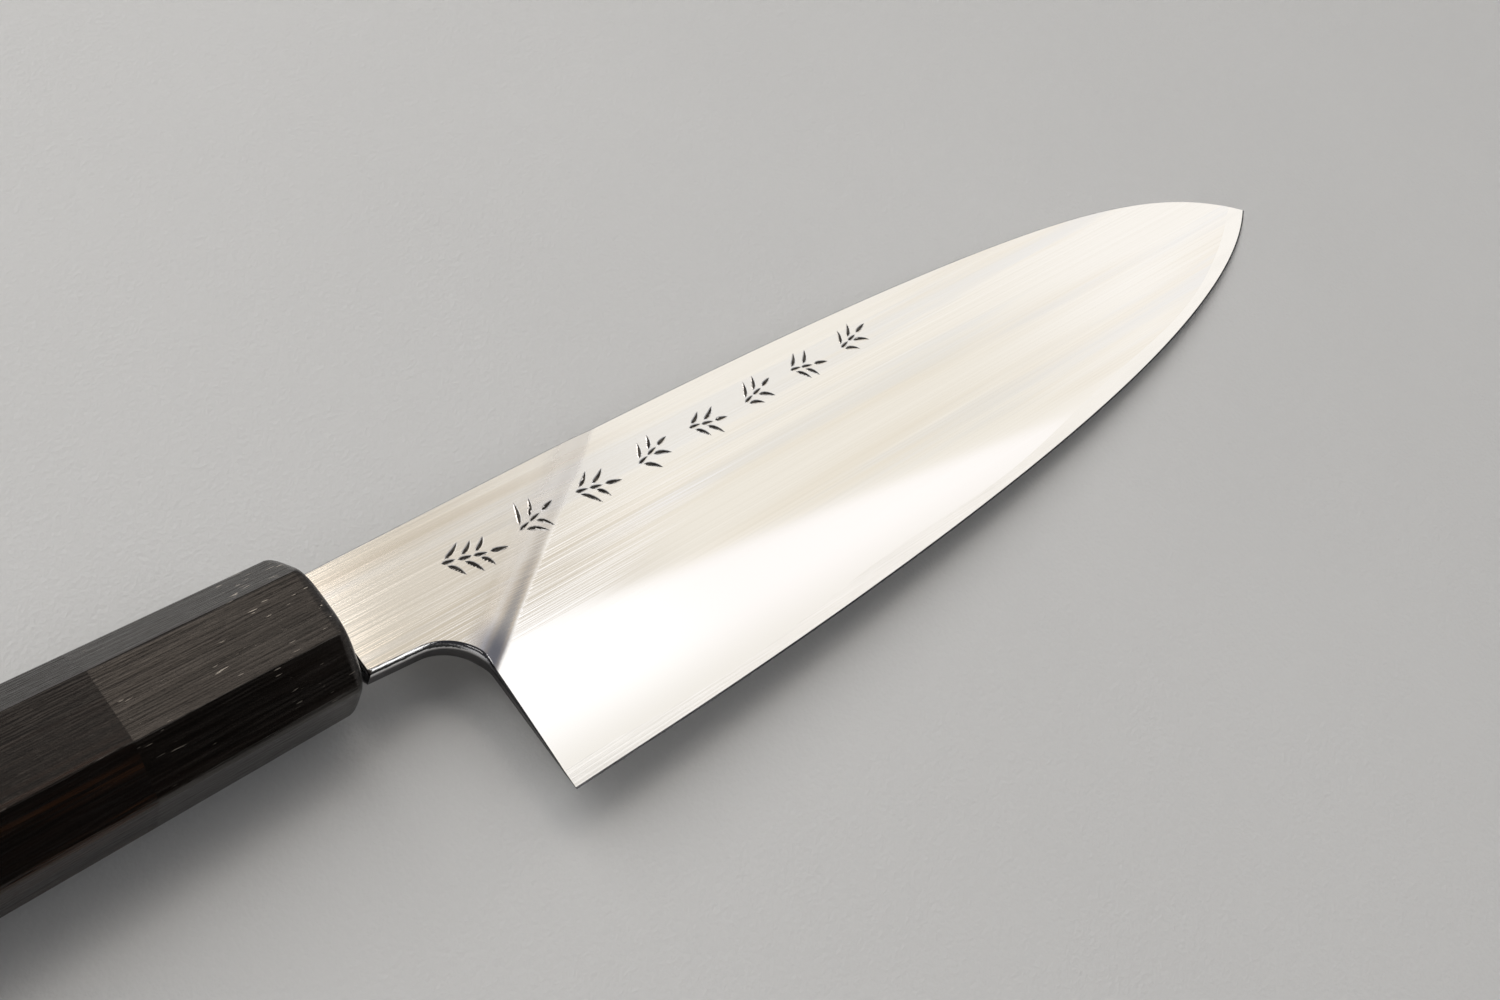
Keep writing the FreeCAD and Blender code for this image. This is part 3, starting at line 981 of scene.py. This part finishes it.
def dark_wood():
    """Ebony, oiled and buffed: near black, with fine pores and orange-brown streaks low down."""
    g = Graph(bpy.data.materials.new("buffed_ebony"))
    where = g.knife()
    _, y, _ = g.split(where)
    band = g.noise(where, (0.012, 0.45, 0.45), 3.0, 0.55, (1, 3, 8))
    wavy = g.noise(where, (0.05, 1.2, 1.2), 4.0, 0.6, (6, 2, 0))
    pore = g.noise(where, (0.12, 3.4, 3.4), 2.0, 0.5)
    colour = g.mix(g.smooth(wavy, 0.35, 0.7), (0.003, 0.002, 0.0015, 1), (0.006, 0.0035, 0.0025, 1))
    streak = g.times(g.smooth(band, 0.48, 0.64), g.smooth(wavy, 0.40, 0.64))
    streak = g.times(streak, g.smooth(y, -3.0, -7.5, 0.02, 0.45))
    colour = g.mix(streak, colour, (0.070, 0.026, 0.009, 1))
    colour = g.mix(g.smooth(pore, 0.62, 0.72), colour, (0.004, 0.003, 0.003, 1))
    roughness = g.smooth(pore, 0.4, 0.75, 0.17, 0.26)
    relief = g.bump(pore, -0.012, 0.12)
    return g.surface(Base_Color=colour, Roughness=roughness, Normal=relief, IOR=1.38,
                     Specular_Tint=(1.0, 0.94, 0.89, 1))


def pale_wood():
    """The dowel inside the handle."""
    g = Graph(bpy.data.materials.new("dowel_magnolia"))
    where = g.knife()
    ring = g.noise(where, (0.02, 0.8, 0.8), 4.0, 0.6)
    pore = g.noise(where, (0.15, 4.0, 4.0), 2.0)
    colour = g.mix(ring, (0.66, 0.52, 0.35, 1), (0.48, 0.35, 0.21, 1))
    colour = g.mix(g.smooth(pore, 0.6, 0.75), colour, (0.30, 0.20, 0.12, 1))
    roughness = g.smooth(pore, 0.3, 0.7, 0.55, 0.75)
    return g.surface(Base_Color=colour, Roughness=roughness, Normal=g.bump(pore, 0.04, 0.3))


def cast_resin(name, low, high, roughness):
    """The bedding and the seal: cloudy, with fine pits."""
    g = Graph(bpy.data.materials.new(name))
    where = g.knife()
    cloud = g.noise(where, (0.5, 0.5, 0.5), 4.0)
    pit = g.noise(where, (3.0, 3.0, 3.0), 2.0)
    roughness = g.smooth(cloud, 0.3, 0.7, roughness, roughness + 0.15)
    relief = g.bump(pit, 0.03, 0.25)
    return g.surface(Base_Color=g.mix(cloud, low, high), Roughness=roughness, Normal=relief)


def floor_material():
    g = Graph(bpy.data.materials.new("pale_floor"))
    where = g.knife()
    cloud = g.noise(where, (0.01, 0.01, 0.01), 3.0)
    tooth = g.noise(where, (1.3, 1.3, 1.3), 3.0)
    colour = g.mix(cloud, (0.60, 0.60, 0.595, 1), (0.64, 0.64, 0.635, 1))
    roughness = g.smooth(tooth, 0.3, 0.7, 0.75, 0.85)
    return g.surface(Base_Color=colour, Roughness=roughness, Normal=g.bump(tooth, 0.05, 0.1))


# ------ stage
FLOOR_HALF = 3.0


def add_floor():
    mesh = bpy.data.meshes.new("floor")
    corners = [(FLOOR_HALF * x, FLOOR_HALF * y, 0) for x, y in ((-1, -1), (1, -1), (1, 1), (-1, 1))]
    mesh.from_pydata(corners, [], [(0, 1, 2, 3)])
    mesh.materials.append(floor_material())
    new_object("floor", mesh)


# Colours of the studio's panels and gaps
AMBIENT = (0.44, 0.44, 0.45, 1)
MAIN_NEAR = (1.26, 1.26, 1.28, 1)
MAIN_FAR = (1.18, 1.16, 1.17, 1)
MAIN_LOW = (1.00, 0.98, 0.94, 1)
WARM_NEAR = (3.20, 2.95, 2.70, 1)
WARM_NECK = (0.76, 0.71, 0.63, 1)
WARM_MIDDLE = (1.07, 1.04, 0.98, 1)
WARM_MIDDLE_LOW = (0.99, 0.955, 0.88, 1)
WARM_FAR = (1.11, 1.09, 1.06, 1)
DARK_GAP = (0.03, 0.03, 0.035, 1)
SIDE_LINE = (1.2, 1.2, 1.2, 1)
DULL_WARM = (0.92, 0.84, 0.72, 1)
DULL_COOL = (0.46, 0.47, 0.50, 1)
FRONT_PANEL = (1.5, 1.5, 1.5, 1)
LOW_FRONT = (0.03, 0.03, 0.03, 1)
LEAST_SLOPE = 0.02          # keeps the divisions below finite near the horizon


def light_above(g, rx, ry):
    """What the blade mirrors. A direction is told by where it meets a level one unit above the knife:
    rx towards the tip, ry towards the spine."""
    def patch(low_x, high_x, low_y, high_y, soft):
        return g.times(g.between(rx, low_x, high_x, soft), g.between(ry, low_y, high_y, soft))

    # The warm panel, brightest at its end near the handle
    warm = g.mix(g.smooth(rx, 0.33, 0.40), WARM_NEAR, WARM_NECK)
    middle = g.mix(g.smooth(ry, 0.37, 0.31), WARM_MIDDLE, WARM_MIDDLE_LOW)
    warm = g.mix(g.smooth(rx, 0.52, 0.68), warm, middle)
    warm = g.mix(g.smooth(rx, 0.95, 1.30), warm, WARM_FAR)
    light = g.mix(patch(0.02, 2.6, 0.33, 0.58, 0.03), AMBIENT, warm)
    light = g.mix(patch(0.14, 2.6, 0.12, 0.58, 0.03), light, warm)
    # The neutral panel, with slanted borders towards the handle and the spine
    handle_side = g.smooth(g.math("MULTIPLY_ADD", ry, -0.6, rx), 0.28, 0.32)
    spine_side = g.smooth(g.math("MULTIPLY_ADD", rx, 0.156, ry), 0.322, 0.334, 1.0, 0.0)
    main = g.times(handle_side, patch(0.0, 2.2, 0.04, 3.0, 0.03), spine_side)
    main_colour = g.mix(g.smooth(rx, 0.54, 0.68), MAIN_NEAR, MAIN_FAR)
    main_colour = g.mix(g.smooth(ry, 0.17, 0.10), main_colour, MAIN_LOW)
    light = g.mix(main, light, main_colour)
    # A dark gap on the side of the panels that the neck, choil and heel are rounded towards
    corner = g.math("MINIMUM", ry, g.math("SUBTRACT", rx, 0.10))
    corner = g.math("MINIMUM", corner, g.math("MULTIPLY_ADD", g.math("ADD", rx, ry), 0.5, -0.15))
    gap = g.times(g.smooth(corner, 0.0, -0.04), g.smooth(rx, 0.54, 0.46), g.smooth(ry, 0.34, 0.30))
    gap = g.times(gap, g.smooth(rx, -1.3, -1.2), g.smooth(ry, -1.0, -0.9))
    light = g.mix(gap, light, DARK_GAP)
    # A thin bright line in that gap, and a dull patch beside it, further to the tip
    light = g.mix(patch(-0.46, -0.34, -0.3, 0.6, 0.02), light, SIDE_LINE)
    dull = g.mix(g.smooth(ry, -0.05, -0.22), DULL_WARM, DULL_COOL)
    return g.mix(patch(0.54, 1.1, -0.5, 0.04, 0.04), light, dull)


def light_in_front(g, light, dx, dy, dz, ry):
    """Adds darkness low down on the edge's side, and a bright panel above it and nearer the tip."""
    ahead = g.times(dy, -1.0)
    bearing = g.math("DIVIDE", dx, g.math("MAXIMUM", ahead, LEAST_SLOPE))
    low = g.times(g.smooth(ahead, 0.55, 0.8), g.smooth(bearing, 0.64, 0.60))
    panel = g.times(g.between(bearing, 0.45, 1.6, 0.02), g.between(dz, 0.59, 0.90, 0.03))
    panel = g.times(panel, g.smooth(ry, -0.06, -0.13))
    return g.mix(panel, g.mix(low, light, LOW_FRONT), FRONT_PANEL)


def add_studio():
    """Soft light from all round, with bright panels, and dark gaps that give steel its dark lines."""
    world = bpy.data.worlds.new("studio")
    bpy.context.scene.world = world
    g = Graph(world)
    inputs = {"Vector": g.add("ShaderNodeTexCoord").outputs["Generated"], "Rotation": (0, -PITCH, 0)}
    way = g.add("ShaderNodeMapping", inputs, vector_type="VECTOR").outputs[0]
    dx, dy, dz = g.split(way)
    up = g.math("MAXIMUM", dz, LEAST_SLOPE)
    rx, ry = g.math("DIVIDE", dx, up), g.math("DIVIDE", dy, up)
    light = light_in_front(g, light_above(g, rx, ry), dx, dy, dz, ry)
    backdrop = g.add("ShaderNodeBackground", {"Color": light, "Strength": 1.0}).outputs[0]
    g.add("ShaderNodeOutputWorld", {"Surface": backdrop})


# Camera, in knife millimetres and directions
EYE = (-79.12, -78.94, 207.0)
EYE_FORWARD = (0.57459, 0.24355, -0.78137)
EYE_RIGHT = (0.71151, -0.62045, 0.32983)
LENS = 38.88
SENSOR = 36.0


def add_camera():
    camera = bpy.data.cameras.new("camera")
    camera.lens = LENS
    camera.sensor_width = SENSOR
    camera.clip_start = 0.01
    holder = new_object("camera", camera)
    forward = (TURN @ Vector(EYE_FORWARD)).normalized()
    right = TURN @ Vector(EYE_RIGHT)
    right = (right - forward * right.dot(forward)).normalized()
    up = right.cross(forward)
    matrix = Matrix((right, up, -forward)).transposed().to_4x4()
    matrix.translation = Vector(place([EYE])[0])
    holder.matrix_world = matrix
    bpy.context.scene.camera = holder


# Key light, in metres of the model's frame and watts
KEY_PLACE = (-0.35, 0.75, 0.85)
KEY_TARGET = (0.02, 0.0, 0.0)
KEY_SIZE = (1.2, 1.0)
KEY_POWER = 9.0


def add_key_light():
    """A large light high on the spine side, for the soft shadow. Polished steel doesn't mirror it."""
    light = bpy.data.lights.new("key", "AREA")
    light.shape = "RECTANGLE"
    light.size, light.size_y = KEY_SIZE
    light.energy = KEY_POWER
    light.color = (1.0, 0.985, 0.96)
    holder = new_object("key", light)
    holder.location = KEY_PLACE
    holder.rotation_euler = (Vector(KEY_TARGET) - holder.location).to_track_quat("-Z", "Y").to_euler()
    holder.visible_glossy = False


# ------ assembly
def add_piece(soup, name, node, materials):
    """Shows a piece in place of a CAD node."""
    piece = soup.piece(name, materials)
    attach(piece, "root")
    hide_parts(node)


def set_cad_material(node, material):
    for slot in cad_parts[node].material_slots:
        slot.material = material


def add_knife():
    steel, core, mirror, cut = satin_steel(), core_steel(), mirror_steel(), cut_steel()
    front = front_cladding(ornament())
    back = front_cladding([]).mirrored()
    clad_finishes = [steel, mirror, cut]
    add_piece(front, "front_cladding", "cladding_front", clad_finishes)
    add_piece(back, "back_cladding", "cladding_back", clad_finishes)
    add_piece(core_soup(), "core_layer", "blade_core", [core, mirror])
    add_piece(ferrule_soup(), "horn_ferrule", "ferrule", [horn()])
    add_piece(grip_soup(), "wooden_grip", "handle_grip", [dark_wood()])
    set_cad_material("handle_dowel", pale_wood())
    resin = cast_resin("bedding_resin", (0.20, 0.15, 0.09, 1), (0.11, 0.08, 0.05, 1), 0.4)
    set_cad_material("tang_bedding", resin)
    wax = cast_resin("seal_wax", (0.03, 0.026, 0.022, 1), (0.015, 0.013, 0.011, 1), 0.35)
    set_cad_material("mouth_seal", wax)


add_camera()
add_floor()
add_studio()
add_key_light()
add_knife()
bpy.context.scene.view_settings.view_transform = "Standard"
